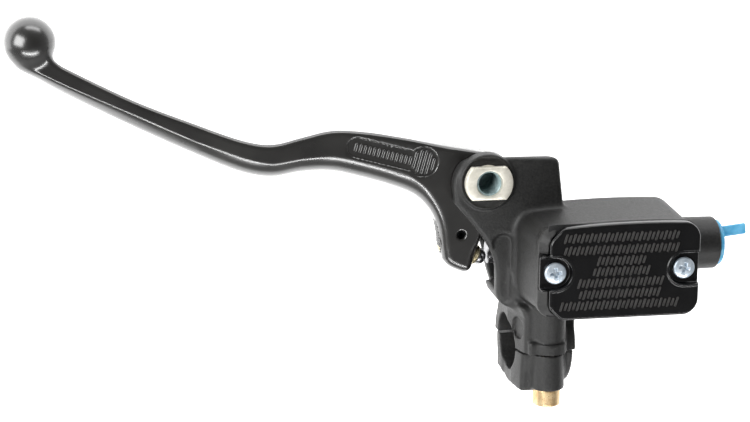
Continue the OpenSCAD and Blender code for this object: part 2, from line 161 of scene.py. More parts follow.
def outline(u, v, points):
    """Signed distance to a closed outline: the nearest edge's distance, negative inside."""
    p = np.asarray(points, float)
    best, odd = None, None
    for a, b in zip(p, np.roll(p, -1, 0)):
        e = b - a
        t = np.clip(((u - a[0]) * e[0] + (v - a[1]) * e[1]) / (e @ e), 0, 1)
        d = np.hypot(u - a[0] - t * e[0], v - a[1] - t * e[1])
        cross = ((a[1] > v) != (b[1] > v)) & (
            u < (b[0] - a[0]) * (v - a[1]) / (b[1] - a[1] + 1e-12) + a[0])
        best = d if best is None else np.minimum(best, d)
        odd = cross if odd is None else odd ^ cross
    return np.where(odd, -best, best)


def smooth_curve(points, steps):
    """An open curve through the points: a cubic between neighbours whose slope at each point
    is half the step between the points on either side."""
    p = np.asarray(points, float)
    ext = np.vstack([p[:1], p, p[-1:]])
    a, b, c, d = ext[:-3, None], ext[1:-2, None], ext[2:-1, None], ext[3:, None]
    t = np.linspace(0, 1, steps, endpoint=False)[None, :, None]
    q = 0.5 * (2 * b + (c - a) * t + (2 * a - 5 * b + 4 * c - d) * t ** 2
               + (3 * b - a - 3 * c + d) * t ** 3)
    return np.vstack([q.reshape(-1, p.shape[1]), p[-1:]])


# ---------------------------------------------------------------- surfaces
CORNERS = np.array([(i, j, k) for i in (0, 1) for j in (0, 1) for k in (0, 1)])
EDGES = np.array([(a, b) for a in range(8) for b in range(8)
                  if a < b and np.abs(CORNERS[a] - CORNERS[b]).sum() == 1])


def shell(field, low, high, step, moves=2):
    """The zero surface of a distance field, as quads. Each grid cell that the surface crosses
    gets one vertex at the mean of its edge crossings, then moved onto the surface along the
    field's slope. Each grid edge that it crosses gets the quad of the four cells round it."""
    low = np.asarray(low, float)
    count = np.ceil((np.asarray(high, float) - low) / step).astype(int) + 1
    x, y, z = np.ix_(*[low[i] + step * np.arange(count[i]) for i in range(3)])
    f = np.broadcast_to(field(x, y, z), count).astype(np.float32)
    inside = f < 0
    total = sum(inside[i:i + count[0] - 1, j:j + count[1] - 1, k:k + count[2] - 1].astype(np.int8)
                for i, j, k in CORNERS)
    cell = np.argwhere((total > 0) & (total < 8))
    at = cell[:, None, :] + CORNERS[None]
    value = f[at[..., 0], at[..., 1], at[..., 2]]
    fa, fb = value[:, EDGES[:, 0]], value[:, EDGES[:, 1]]
    crossed = (fa < 0) != (fb < 0)
    t = np.where(crossed, fa / np.where(crossed, fa - fb, 1), 0)[..., None]
    pa, pb = CORNERS[EDGES[:, 0]][None], CORNERS[EDGES[:, 1]][None]
    spot = ((pa + t * (pb - pa)) * crossed[..., None]).sum(1) / crossed.sum(1)[:, None]
    verts = low + step * (cell + spot)
    number = np.full(count - 1, -1, np.int32)
    number[cell[:, 0], cell[:, 1], cell[:, 2]] = np.arange(len(cell))
    faces = []
    for axis in range(3):
        a, b = (axis + 1) % 3, (axis + 2) % 3
        first = [slice(None)] * 3
        second = [slice(None)] * 3
        first[axis], second[axis] = slice(0, -1), slice(1, None)
        first[a] = second[a] = first[b] = second[b] = slice(1, -1)
        here, there = inside[tuple(first)], inside[tuple(second)]
        edge = np.argwhere(here != there)
        flip = ~here[edge[:, 0], edge[:, 1], edge[:, 2]]
        edge[:, a] += 1
        edge[:, b] += 1
        ring = []
        for da, db in ((-1, -1), (0, -1), (0, 0), (-1, 0)):
            q = edge.copy()
            q[:, a] += da
            q[:, b] += db
            ring.append(number[q[:, 0], q[:, 1], q[:, 2]])
        ring = np.stack(ring, 1)
        ring[flip] = ring[flip][:, ::-1]
        faces.append(ring)
    near = 0.02
    for _ in range(moves):
        px, py, pz = verts.T
        slope = np.stack([field(px + near, py, pz) - field(px - near, py, pz),
                          field(px, py + near, pz) - field(px, py - near, pz),
                          field(px, py, pz + near) - field(px, py, pz - near)], 1) / (2 * near)
        size = np.maximum((slope ** 2).sum(1), 0.25)
        move = -(field(px, py, pz) / size)[:, None] * slope
        verts = verts + np.clip(move, -0.6 * step, 0.6 * step)
    return verts, np.vstack(faces)


def grid(points, wrap_u=False, wrap_v=False):
    """Vertices and quads of a surface whose points run over two parameters, u along rows and v
    along columns; a wrapped parameter joins its end to its start."""
    nu, nv = points.shape[:2]
    number = np.arange(nu * nv).reshape(nu, nv)
    u = np.concatenate([number, number[:1]]) if wrap_u else number
    u = np.concatenate([u, u[:, :1]], 1) if wrap_v else u
    faces = np.stack([u[:-1, :-1], u[1:, :-1], u[1:, 1:], u[:-1, 1:]], -1).reshape(-1, 4)
    return points.reshape(-1, 3), faces


def rounded(points, r, steps=5):
    """An open profile with each inner corner turned into an arc-like curve: the corner's two
    legs are cut back by r, or by less on a short leg, and joined by a parabola."""
    p = np.asarray(points, float)
    out = [p[:1]]
    t = np.linspace(0, 1, steps)[:, None]
    for a, b, c in zip(p[:-2], p[1:-1], p[2:]):
        la, lc = np.linalg.norm(a - b), np.linalg.norm(c - b)
        s, e = b + (a - b) * min(r, 0.45 * la) / la, b + (c - b) * min(r, 0.45 * lc) / lc
        out.append((1 - t) ** 2 * s + 2 * t * (1 - t) * b + t ** 2 * e)
    out.append(p[-1:])
    return np.vstack(out)


def turned(profile, centre, axis="x", around=96):
    """A surface of revolution: each (radius, distance) point of the profile turned round the
    axis through centre. The profile runs so that its left side is the outside."""
    r, s = np.asarray(profile, float).T
    angle = np.linspace(0, 2 * math.pi, around, endpoint=False)[None]
    c, n, s = r[:, None] * np.cos(angle), r[:, None] * np.sin(angle), s[:, None] + 0 * angle
    order = {"x": (s, c, n), "y": (n, s, c), "z": (c, n, s)}[axis]
    return grid(np.stack(order, -1) + np.asarray(centre, float), wrap_v=True)


def merged(*parts):
    """Several surfaces as one."""
    verts, faces, start = [], [], 0
    for v, f in parts:
        verts.append(v)
        faces.append(f + start)
        start += len(v)
    return np.vstack(verts), np.vstack(faces)


def make(name, surface, mat, body, nodes=(), crease=35, keep=None, fix=False):
    """A mesh piece from a surface in millimetres. It rides on a body, stands for the CAD nodes
    and takes its finish from the slot. Doubled points at poles are merged; keep thins flat
    stretches to that share of the faces; fix turns every face outwards."""
    verts, faces = surface
    mesh = bpy.data.meshes.new(name)
    mesh.vertices.add(len(verts))
    mesh.vertices.foreach_set("co", (verts * MM).astype(np.float32).ravel())
    mesh.loops.add(faces.size)
    mesh.loops.foreach_set("vertex_index", faces.astype(np.int32).ravel())
    mesh.polygons.add(len(faces))
    mesh.polygons.foreach_set("loop_start", np.arange(len(faces), dtype=np.int32) * faces.shape[1])
    mesh.update(calc_edges=True)
    mesh.validate()
    obj = bpy.data.objects.new(name, mesh)
    bpy.context.scene.collection.objects.link(obj)
    cleaned(obj, keep, fix)
    mesh = obj.data
    mesh.polygons.foreach_set("use_smooth", np.ones(len(mesh.polygons), bool))
    mesh.set_sharp_from_angle(angle=math.radians(crease))
    mesh.materials.append(mat)
    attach(obj, body)
    if nodes:
        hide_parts(*nodes)
    return obj


def cleaned(obj, keep, fix):
    """Merges doubled points, turns faces outwards if asked, and thins the mesh."""
    bm = bmesh.new()
    bm.from_mesh(obj.data)
    bmesh.ops.remove_doubles(bm, verts=bm.verts, dist=0.00001)
    bmesh.ops.dissolve_degenerate(bm, edges=bm.edges, dist=0.000004)
    if fix:
        bmesh.ops.recalc_face_normals(bm, faces=bm.faces)
    bm.to_mesh(obj.data)
    bm.free()
    if keep:
        thin = obj.modifiers.new("thin", "DECIMATE")
        thin.ratio = keep
        depsgraph = bpy.context.evaluated_depsgraph_get()
        mesh = bpy.data.meshes.new_from_object(obj.evaluated_get(depsgraph))
        obj.modifiers.clear()
        old, name = obj.data, obj.data.name
        obj.data = mesh
        bpy.data.meshes.remove(old)
        mesh.name = name


# ---------------------------------------------------------------- materials
def colour(code):
    """An sRGB hex code as linear red, green, blue, alpha."""
    s = np.array([int(code[i:i + 2], 16) / 255 for i in (1, 3, 5)])
    lin = np.where(s <= 0.04045, s / 12.92, ((s + 0.055) / 1.055) ** 2.4)
    return (*lin.tolist(), 1.0)


def finish(name, base, **sockets):
    """A new material named for its real finish: the tree, its main shader and the material."""
    mat = bpy.data.materials.new(name)
    mat.use_nodes = True
    tree = mat.node_tree
    shader = tree.nodes["Principled BSDF"]
    shader.inputs["Base Color"].default_value = colour(base)
    for key, value in sockets.items():
        shader.inputs[key.replace("_", " ")].default_value = value
    mat.diffuse_color = colour(base)
    return tree, shader, mat


def add(tree, kind, links=None, **settings):
    """Adds a node. settings that name a socket set its value, any other is the node's own;
    links maps an input's name or number to the output that feeds it."""
    node = tree.nodes.new("ShaderNode" + kind)
    for key, value in settings.items():
        socket = key.replace("_", " ")
        if hasattr(node, key):
            setattr(node, key, value)
        else:
            node.inputs[socket].default_value = value
    for key, output in (links or {}).items():
        tree.links.new(output, node.inputs[key])
    return node


def ramp(tree, source, *stops):
    """A colour ramp over source, with (position, sRGB hex) stops."""
    node = add(tree, "ValToRGB", {"Fac": source})
    band = node.color_ramp.elements
    while len(band) < len(stops):
        band.new(0.5)
    for element, (place, code) in zip(band, stops):
        element.position, element.color = place, colour(code)
    return node.outputs["Color"]


def per_mm(size):
    """Texture scale for a pattern that repeats about every size millimetres."""
    return 1 / (size * MM)


def grain(tree, size, detail=2.0, rough=0.5, stretch=None):
    """Noise on the object's own coordinates, with features of about size millimetres."""
    place = add(tree, "TexCoord").outputs["Object"]
    if stretch:
        place = add(tree, "Mapping", {"Vector": place}, Scale=stretch).outputs["Vector"]
    return add(tree, "TexNoise", {"Vector": place}, Scale=per_mm(size), Detail=detail,
               Roughness=rough).outputs["Fac"]


def bumped(tree, shader, height, strength, depth_mm):
    """Bump of a real depth, in millimetres, into the shader; chains onto any bump there."""
    links = {"Height": height}
    if shader.inputs["Normal"].is_linked:
        links["Normal"] = shader.inputs["Normal"].links[0].from_socket
    node = add(tree, "Bump", links, Strength=strength, Distance=depth_mm * MM)
    tree.links.new(node.outputs["Normal"], shader.inputs["Normal"])


def spread(tree, source, low, high):
    """A value mapped from 0..1 noise onto low..high."""
    return add(tree, "MapRange", {"Value": source}, **{"To_Min": low, "To_Max": high,
               "From_Min": 0.3, "From_Max": 0.7}).outputs["Result"]


def cast_black():
    """Satin black coating over sand-blasted cast aluminium: a fine grain that scatters the
    light, slight cloudiness, and a few pale dust specks."""
    tree, shader, mat = finish("satin_black_coated_cast_aluminium", "#202020", Roughness=0.5)
    cloud = grain(tree, 9.0, 3.0)
    sand = grain(tree, 0.8, 3.0, 0.8)
    base = ramp(tree, sand, (0.32, "#101010"), (0.7, "#262625"))
    specks = add(tree, "TexVoronoi", {"Vector": add(tree, "TexCoord").outputs["Object"]},
                 Scale=per_mm(2.6)).outputs["Distance"]
    dust = ramp(tree, specks, (0.0, "#ffffff"), (0.05, "#000000"))
    mix = add(tree, "Mix", data_type="RGBA")
    tree.links.new(dust, mix.inputs["Factor"])
    tree.links.new(base, mix.inputs[6])
    mix.inputs[7].default_value = colour("#7d7c78")
    tree.links.new(mix.outputs[2], shader.inputs["Base Color"])
    tree.links.new(spread(tree, sand, 0.4, 0.6), shader.inputs["Roughness"])
    bumped(tree, shader, sand, 0.9, 0.13)
    bumped(tree, shader, cloud, 0.4, 0.15)
    return mat


def lever_black():
    """Semi-gloss black enamel on a forged aluminium lever: broad soft reflections under a
    thin clear gloss, with a slight orange-peel ripple and a few dust specks."""
    tree, shader, mat = finish("semigloss_black_enamelled_forging", "#161514", Roughness=0.3)
    shader.inputs["Coat Weight"].default_value = 1.0
    shader.inputs["Coat IOR"].default_value = 1.7
    shader.inputs["Coat Roughness"].default_value = 0.24
    cloud = grain(tree, 14.0, 3.0)
    base = ramp(tree, cloud, (0.3, "#141312"), (0.7, "#1d1c1a"))
    specks = add(tree, "TexVoronoi", {"Vector": add(tree, "TexCoord").outputs["Object"]},
                 Scale=per_mm(4.2)).outputs["Distance"]
    dust = ramp(tree, specks, (0.0, "#ffffff"), (0.03, "#000000"))
    mix = add(tree, "Mix", data_type="RGBA")
    tree.links.new(dust, mix.inputs["Factor"])
    tree.links.new(base, mix.inputs[6])
    mix.inputs[7].default_value = colour("#6d6c68")
    tree.links.new(mix.outputs[2], shader.inputs["Base Color"])
    tree.links.new(spread(tree, cloud, 0.26, 0.34), shader.inputs["Roughness"])
    bumped(tree, shader, grain(tree, 1.6, 1.5), 0.25, 0.02)
    return mat


def cap_black():
    """Glossy black moulded nylon: smooth, with a faint flow ripple and fine scuffs."""
    tree, shader, mat = finish("gloss_black_moulded_nylon", "#08080a", Roughness=0.2)
    tree.links.new(ramp(tree, grain(tree, 6.0), (0.35, "#070708"), (0.65, "#0d0d0e")),
                   shader.inputs["Base Color"])
    scuff = grain(tree, 0.5, 3.0, 0.7, (1.0, 6.0, 1.0))
    tree.links.new(spread(tree, scuff, 0.16, 0.28), shader.inputs["Roughness"])
    bumped(tree, shader, grain(tree, 2.4, 1.0), 0.2, 0.02)
    return mat


def relief_painted_sheen():
    """Satin black on the raised strokes of the cap, coloured paler than the glossy face they stand
    on: a painted highlight so every stroke reads as lit whichever way it runs, its tone drifting at
    random."""
    tree, shader, mat = finish("satin_moulded_nylon_painted_highlight", "#211f1e", Roughness=0.36)
    sheen_tone = grain(tree, 1.4, 3.0, 0.7)
    # painted highlight: the strokes' colour is paler than the cap's so they look lit from every side;
    # the noise only varies the tone
    tree.links.new(ramp(tree, sheen_tone, (0.3, "#100f0e"), (0.7, "#262321")),
                   shader.inputs["Base Color"])
    tree.links.new(spread(tree, sheen_tone, 0.28, 0.42), shader.inputs["Roughness"])
    return mat


def plated(name, low, high, rough, patch=3.0, metal=1.0):
    """Zinc-plated steel: the passivation's colour drifts in patches, over fine turning
    marks."""
    tree, shader, mat = finish(name, high, Metallic=metal, Roughness=rough)
    cloud = grain(tree, patch, 3.0, 0.6)
    tree.links.new(ramp(tree, cloud, (0.32, low), (0.68, high)), shader.inputs["Base Color"])
    fine = grain(tree, 0.35, 2.0, 0.6)
    tree.links.new(spread(tree, fine, rough - 0.06, rough + 0.1), shader.inputs["Roughness"])
    bumped(tree, shader, fine, 0.3, 0.02)
    return mat


def rubber_black():
    """Black EPDM rubber: matt, with a dry bloom and a fine moulded grain."""
    tree, shader, mat = finish("matt_black_epdm_rubber", "#151516", Roughness=0.72)
    cloud = grain(tree, 4.0, 3.0)
    tree.links.new(ramp(tree, cloud, (0.3, "#121213"), (0.7, "#1e1e1f")),
                   shader.inputs["Base Color"])
    bumped(tree, shader, grain(tree, 0.4), 0.4, 0.03)
    return mat


def blue_plastic():
    """Light blue low-density polyethylene: waxy and slightly translucent, with soft
    moulding marks."""
    tree, shader, mat = finish("light_blue_polyethylene", "#5fb6e0", Roughness=0.38)
    shader.inputs["Subsurface Weight"].default_value = 0.15
    shader.inputs["Subsurface Scale"].default_value = 0.002
    tree.links.new(ramp(tree, grain(tree, 3.0), (0.3, "#4fa9d6"), (0.7, "#6fc1e8")),
                   shader.inputs["Base Color"])
    bumped(tree, shader, grain(tree, 0.8), 0.25, 0.03)
    return mat


def nylon_white():
    """Natural moulded nylon: off-white, soft sheen, faint mottling."""
    tree, shader, mat = finish("natural_moulded_nylon", "#dcdad2", Roughness=0.45)
    tree.links.new(ramp(tree, grain(tree, 3.0), (0.3, "#d2d0c6"), (0.7, "#e4e2da")),
                   shader.inputs["Base Color"])
    bumped(tree, shader, grain(tree, 0.7), 0.2, 0.02)
    return mat


def lens_clear():
    """Clear polycarbonate sight lens: glossy and see-through, with a faint moulded swirl."""
    tree, shader, mat = finish("clear_polycarbonate_lens", "#dfe6e2", Roughness=0.06)
    shader.inputs["Transmission Weight"].default_value = 0.85
    shader.inputs["IOR"].default_value = 1.58
    bumped(tree, shader, grain(tree, 3.0), 0.15, 0.02)
    return mat


CAST = cast_black()
ENAMEL = lever_black()
MOULDED = cap_black()
# the cap's raised strokes get a paler colour, a painted highlight over a satin finish
STROKE_SHEEN = relief_painted_sheen()
YELLOW = plated("yellow_zinc_plated_steel", "#c3a173", "#e6cda0", 0.32, 3.0, 0.75)
CREAM = plated("warm_zinc_plated_steel", "#d8d4c6", "#efebdf", 0.42, 3.0, 0.5)
ZINC = plated("clear_blue_zinc_plated_steel", "#a9b7c3", "#d3dce4", 0.34, 2.0, 0.6)
STEEL = plated("bare_ground_spring_steel", "#707072", "#a4a4a6", 0.26)
PALE = plated("pale_yellow_zinc_plated_thread", "#a99d7e", "#d6ccac", 0.3, 2.0, 0.7)
TEAL = plated("teal_passivated_thread", "#7a9092", "#a7babb", 0.4, 2.0, 0.3)
BLACKED = plated("black_oxide_steel", "#101112", "#1f2021", 0.32)
TURNED = plated("turned_aluminium", "#b9babd", "#d8d9db", 0.22)
BRONZE = plated("sintered_bronze", "#8d6a3c", "#b08a52", 0.42)
RUBBER = rubber_black()
BLUE = blue_plastic()
NYLON = nylon_white()
LENS = lens_clear()


# ---------------------------------------------------------------- body casting
def ear_flat(x, y):
    """Flat field of the upper pivot ear with the guard below it: half-planes met with round
    corners, joined to the round eye."""
    px, py = PIVOT[0], PIVOT[1]
    left = join(side(x, y, (-23.4, 43.2), (-34.2, 57.4)), -(x + 18.7), 6.0)
    left = meet(left, side(x, y, (-35.0, 58.0), (-16.0, 79.0)), 1.0)
    top = side(x, y, (-24.0, 75.8), (3.1, 74.3))
    right = side(x, y, (4.4, 70.1), (5.9, 58.2))
    flat = meet(meet(left, right, 3.0), 16.8 - y, 7.0)
    flat = join(flat, np.hypot(x - px + 0.7, y - py + 1.4) - 11.9, 3.0)
    return meet(flat, top, 3.0)


def front_bulge(x):
    """How far the reservoir's front edge falls back from its crown, to each side."""
    return 1.5 * ((x - RES_X - 7) / 32) ** 2


def tub_flat(x, y, half_x, half_y, r, lean=0.0):
    """Flat field of the reservoir's outline: a rectangle whose front edge is gently bowed.
    lean spreads it to the lever end and the front, and draws in the outlet end."""
    u, v = x - RES_X + 1.2 * lean, y - RES_Y - 0.5 * lean
    return rect(u, v + np.where(v > 0, front_bulge(x), 0), half_x + 1.9 * lean,
                half_y + 0.5 * lean, r)


def drafted(x, y, z):
    """The clamp's left wall, leaning in towards the front by the casting's draft."""
    near = np.clip(22.0 - y, 0, 8) / 8
    return (CLAMP_X0 + DRAFT * np.maximum(z - DRAFT_Z, 0) * near - x) * 0.97


def body_field(x, y, z):
    """The casting: cylinder, outlet boss, reservoir tub, ears and clamp half joined with cast
    fillets, then slots, bores and pockets taken away."""
    px, py = PIVOT[0], PIVOT[1]
    axis = np.hypot(y - CYL_Y, z)
    housing = extrude(axis - 11.0, x, MOUTH_X, 54, 2.0)
    boss = extrude(axis - 10.0 - 0.014 * (OUTLET_X - x), x, 30, OUTLET_X, 0.9)
    lean = np.clip((RIM_Z - z) / 23.0, 0, 1.4)
    tub = extrude(tub_flat(x, y, HALF_L - 0.7, HALF_W - 0.7, 5.5 + 0.6 * lean, lean),
                  z, -0.5, RIM_Z + 8, 4.5)
    tub = np.maximum(tub, z - RIM_Z)
    rim = extrude(tub_flat(x, y, HALF_L - 0.15, HALF_W - 0.15, 5.4), z, RIM_Z - 2.2, RIM_Z, 0.4)
    ears = extrude(ear_flat(x, y), z, -SLOT_HALF - 3, EAR_HALF, 1.6)
    front = y - 75.4 + 0.26 * (EAR_HALF - z)
    ears = meet(ears, front, 2.0)
    low_eye = np.hypot(x - px, y - py + 1.2) - 6.8
    low_block = meet(meet(side(x, y, (-22.8, 42.4), (-29.8, 64.5)), y - 68.6, 3.0),
                     ear_flat(x, y), 1.0)
    low_ear = extrude(join(low_eye, low_block, 3.0), z, -EAR_HALF, -SLOT_HALF + 2, 1.6)
    ears = np.minimum(np.maximum(ears, -SLOT_HALF - z), low_ear)
    boss_ring = extrude(np.hypot(x - px, y - py) - 10.5, z, 7.5, EAR_HALF + 0.8, 0.6)
    ears = join(ears, boss_ring, 0.7)
    channel = extrude(rect(x + 16.6, y - 32, 3.4, 12.9, 3.3), z, EAR_HALF - 0.9, 30, 0.4)
    ears = cut(ears, channel, 2.4)
    ring = extrude(np.hypot(y, z) - RING_R, x, CLAMP_X0, CLAMP_X1, 1.1)
    web = extrude(rect(x - (CLAMP_X0 + CLAMP_X1) / 2, y - 17, (CLAMP_X1 - CLAMP_X0) / 2, 10, 1.5),
                  z, -11.5, 11.5, 2.0)
    shoulder = extrude(rect(x + 3.7, y - 8, 8.9, 10.5, 1.6), z, 4, 18.8, 1.6)
    near = extrude(np.hypot(x - BOLT_X, z - BOLT_Z) - 6.5, y, -4, 30, 1.0)
    far = extrude(np.hypot(x - BOLT_X, z + BOLT_Z) - 6.5, y, -4, 15, 3.0)
    collar = extrude(np.minimum(np.hypot(x - BOLT_X, z - BOLT_Z), np.hypot(x - BOLT_X, z + BOLT_Z))
                     - 7.2, y, -4, 4.6, 0.35)
    plate = extrude(rect(x + 0.9, y - 0.3, 7.0, 5.0, 1.2), z, 8, 20.8, 1.2)
    peak = side(x, y, (-13.4, 8.0), (-12.6, 25.5))
    peak = extrude(meet(meet(peak, side(x, y, (-12.6, 25.5), (-6.0, 14.0)), 0.8), 6 - y, 1),
                   z, 0, 12.4, 1.2)
    d = join(housing, boss, 2.0)
    d = join(d, tub, 4.0)
    d = join(d, ears, 2.8)
    clamp = join(ring, web, 3.0)
    clamp = join(clamp, shoulder, 3.0)
    clamp = join(clamp, np.minimum(near, far), 2.5)
    clamp = join(clamp, peak, 1.5)
    clamp = meet(clamp, drafted(x, y, z), 1.6)
    d = join(d, clamp, 4.0)
    d = join(d, rim, 1.0)
    d = join(join(d, collar, 0.3), plate, 0.8)
    # raised rim beside the cap's lever end, open at the screw
    band = extrude(tub_flat(x, y, HALF_L - 0.15, HALF_W - 0.15, 5.4), z, RIM_Z - 4,
                   CAP_Z - 1.6, 1.5)
    inner = cap_flat(x, y, 0.25)
    edge = tub_flat(x, y, HALF_L - 0.15, HALF_W - 0.15, 5.4)
    band = meet(band, (edge + z - RIM_Z - 0.2) * 0.7071, 0.3)
    band = np.maximum(band, -inner)
    d = np.minimum(d, np.maximum(band, x - (CAP_X0 + RIM_BAND + 6)))
    # split plane and bar bore
    d = np.maximum(d, np.where(np.abs(x) < 30, 0.35 - y, -99))
    d = cut(d, np.hypot(y, z) - BAR_R, 0.5)
    # lever slot, open at the left
    room = join(np.hypot(x - px, y - py) - 11.8,
                meet(meet(x - MOUTH_X, 22.8 - y, 7.0),
                     side(x, y, (-28.5, 88.0), (-11.5, 58.0)), 3.0), 1.0)
    d = cut(d, extrude(room, z, -SLOT_HALF, SLOT_HALF, 0.8), 1.0)
    d = cut(d, extrude(axis - 9.0, x, -30, 7.2, 0.3), 0.8)
    d = np.maximum(d, -extrude(axis - BORE_R, x, 0, 55, 0.1))
    # outlet port and pivot holes
    d = cut(d, extrude(axis - PORT_R, x, 60, 80, 0.1), 1.2)
    d = np.maximum(d, -extrude(np.hypot(x - px, y - py) - 6.52, z, 0, 20, 0.1))
    d = np.maximum(d, -extrude(np.hypot(x - px, y - py) - 4.02, z, -20, 1, 0.1))
    # spot face under the bolt's head
    d = cut(d, extrude(np.hypot(x - px, y - py) - 9.6, z, EAR_HALF + 0.3, 20, 0.2), 0.4)
    # reservoir cavity with a boss for each screw
    cavity = extrude(rect(x - RES_X, y - RES_Y, HALF_L - 3.8, HALF_W - 3.8, 3), z, 12.5, 60, 1.5)
    screw_boss = np.minimum(np.hypot(x - SCREW_X[0], y - RES_Y), np.hypot(x - SCREW_X[1], y - RES_Y))
    cavity = np.maximum(cavity, 4.4 - screw_boss)
    d = np.maximum(d, -np.maximum(cavity, z - RIM_Z - 1 + 0 * x))
    # sight window and the shallow round recess on the clamp
    window = np.hypot(x - GLASS[0], z - GLASS[2]) - 7.0
    d = cut(d, extrude(window, y, CAP_Y0 - 4, CAP_Y0 + 6, 0.1), 0.5)
    sunk = x - CLAMP_X0 - DRAFT * (z - DRAFT_Z)
    dimple = np.hypot(y - 9.0, (z - 12.6) / 0.98) - 4.2
    d = cut(d, extrude(dimple, sunk, -4, 1.1, 0.3), 0.3)
    return d


def cap_flat(x, y, grow=0.0):
    """Flat field of the cap: the reservoir's outline cut back and cornered at the lever end,
    with a tongue round the screw."""
    left = CAP_X0 + RIM_BAND
    flat = tub_flat(x, y, HALF_L, HALF_W, 6.0)
    flat = meet(flat, left - x, 0.8)
    for sign in (-1, 1):
        edge = sign * (y - RES_Y) - HALF_W + (front_bulge(x) if sign > 0 else 0)
        flat = meet(flat, (left + 4.6 - x + edge) / math.sqrt(2), 1.0)
    tongue = rect(x - CAP_X0 - 5.4, y - RES_Y, 5.2, TONGUE_HALF, 1.2)
    return np.minimum(flat, tongue) - grow


def cap_field(x, y, z):
    """The cap: a slab with a bevelled edge, a pocket open to each short edge, and a raised lip
    round each pocket."""
    flat = cap_flat(x, y) + 0 * z
    d = extrude(flat, z, CAP_Z0, CAP_Z - 0.45, 0.9)
    pocket = None
    for place, out in zip(SCREW_X, (-1, 1)):
        ring = np.hypot(x - place, y - RES_Y)
        slot = np.where(out * (x - place) > 0, np.abs(y - RES_Y), ring)
        pocket = slot if pocket is None else np.minimum(pocket, slot)
    lip = extrude(np.abs(pocket - POCKET_R - 0.45) - 0.42, z, CAP_Z - 2, CAP_Z, 0.35)
    lip = np.maximum(lip, flat + 0.5)
    d = join(d, lip, 0.5)
    floor = CAP_Z - 2.4
    d = cut(d, extrude(pocket - POCKET_R, z, floor, CAP_Z + 9, 0.5), 0.4)
    hole = np.minimum(np.hypot(x - SCREW_X[0], y - RES_Y), np.hypot(x - SCREW_X[1], y - RES_Y))
    return np.maximum(d, 2.3 - hole)


def clamp_cap_field(x, y, z):
    """The clamp's lower half: a half ring with a column and collar round each bolt."""
    x0, x1 = CLAMP[0][0], CLAMP[1][0] - 1.6
    ring = extrude(np.hypot(y, z) - RING_R, x, x0, x1, 1.4)
    away = np.minimum(np.hypot(x - BOLT_X, z - BOLT_Z), np.hypot(x - BOLT_X, z + BOLT_Z))
    column = extrude(away - 6.1 + 0.035 * (y + 0), y, -14.0, 4, 0.7)
    cheek = extrude(rect(x - BOLT_X + 2.7, y + 3, 9.1, 12.4, 1.8), np.abs(z), 6, 16.2, 1.6)
    d = meet(join(ring, cheek, 2.0), drafted(x, y, z), 1.6)
    d = join(d, column, 1.6)
    d = np.maximum(d, y + 0.35 - 0.03 * np.minimum(z, 0))
    d = cut(d, np.hypot(y, z) - BAR_R, 0.5)
    return np.maximum(d, 3.3 - away)


def lever_line():
    """The lever's flat outline as a closed run of curves: top edge, lower edge, lug."""
    top = [(-23.4, 76.3), (-34, 77.8), (-46, 79.8), (-58, 82.1), (-69, 83.9), (-80, 84.6), (-91, 82.4),
           (-102, 80.1), (-113, 82), (-129.5, 88.4), (-151, 97.5), (-172, 108.4),
           (-178.4, 112.4), (-183.5, 118)]
    low = [(-194.6, 116.5), (-192.6, 112.6), (-189, 109.4), (-181.2, 104.4), (-172, 99.2),
           (-151, 88.2), (-130, 77.9), (-113.4, 70.6),
           (-102, 68.3), (-91, 69.8), (-80, 69.8), (-69, 67.2), (-57.5, 63.6),
           (-48.7, 59.7), (-43, 54), (-39.9, 47.4), (-38.7, 39.5)]
    lug = [(-37.9, 34.6), (-36, 32.2), (-32.4, 30.2), (-29.4, 29.3), (-27.2, 30.4), (-26.2, 33.4),
           (-24.8, 38.5), (-23.6, 43), (-21, 54)]
    return np.vstack([smooth_curve(top, 5), smooth_curve(low, 5), smooth_curve(lug, 5),
                      [[PIVOT[0] + 4, PIVOT[1]]]])


LEVER_LINE = lever_line()
BALL = np.array([-187.3, 119.5, 0.0])
TIP = np.array([-23.6, 34.3, 0.0])      # centre of the adjuster's ball tip
TILT = math.radians(24.4)               # slope of the adjuster's axis
PILL, PILL_TURN = (-56.5, 75.0), math.radians(-15.5)    # the recess's middle and slope
ROUND_END = np.array([10.5, 0.6])                       # its round end, along and across it


def ease(t, a, b):
    """A smooth step from 0 at a to 1 at b."""
    s = np.clip((t - a) / (b - a), 0, 1)
    return s * s * (3 - 2 * s)


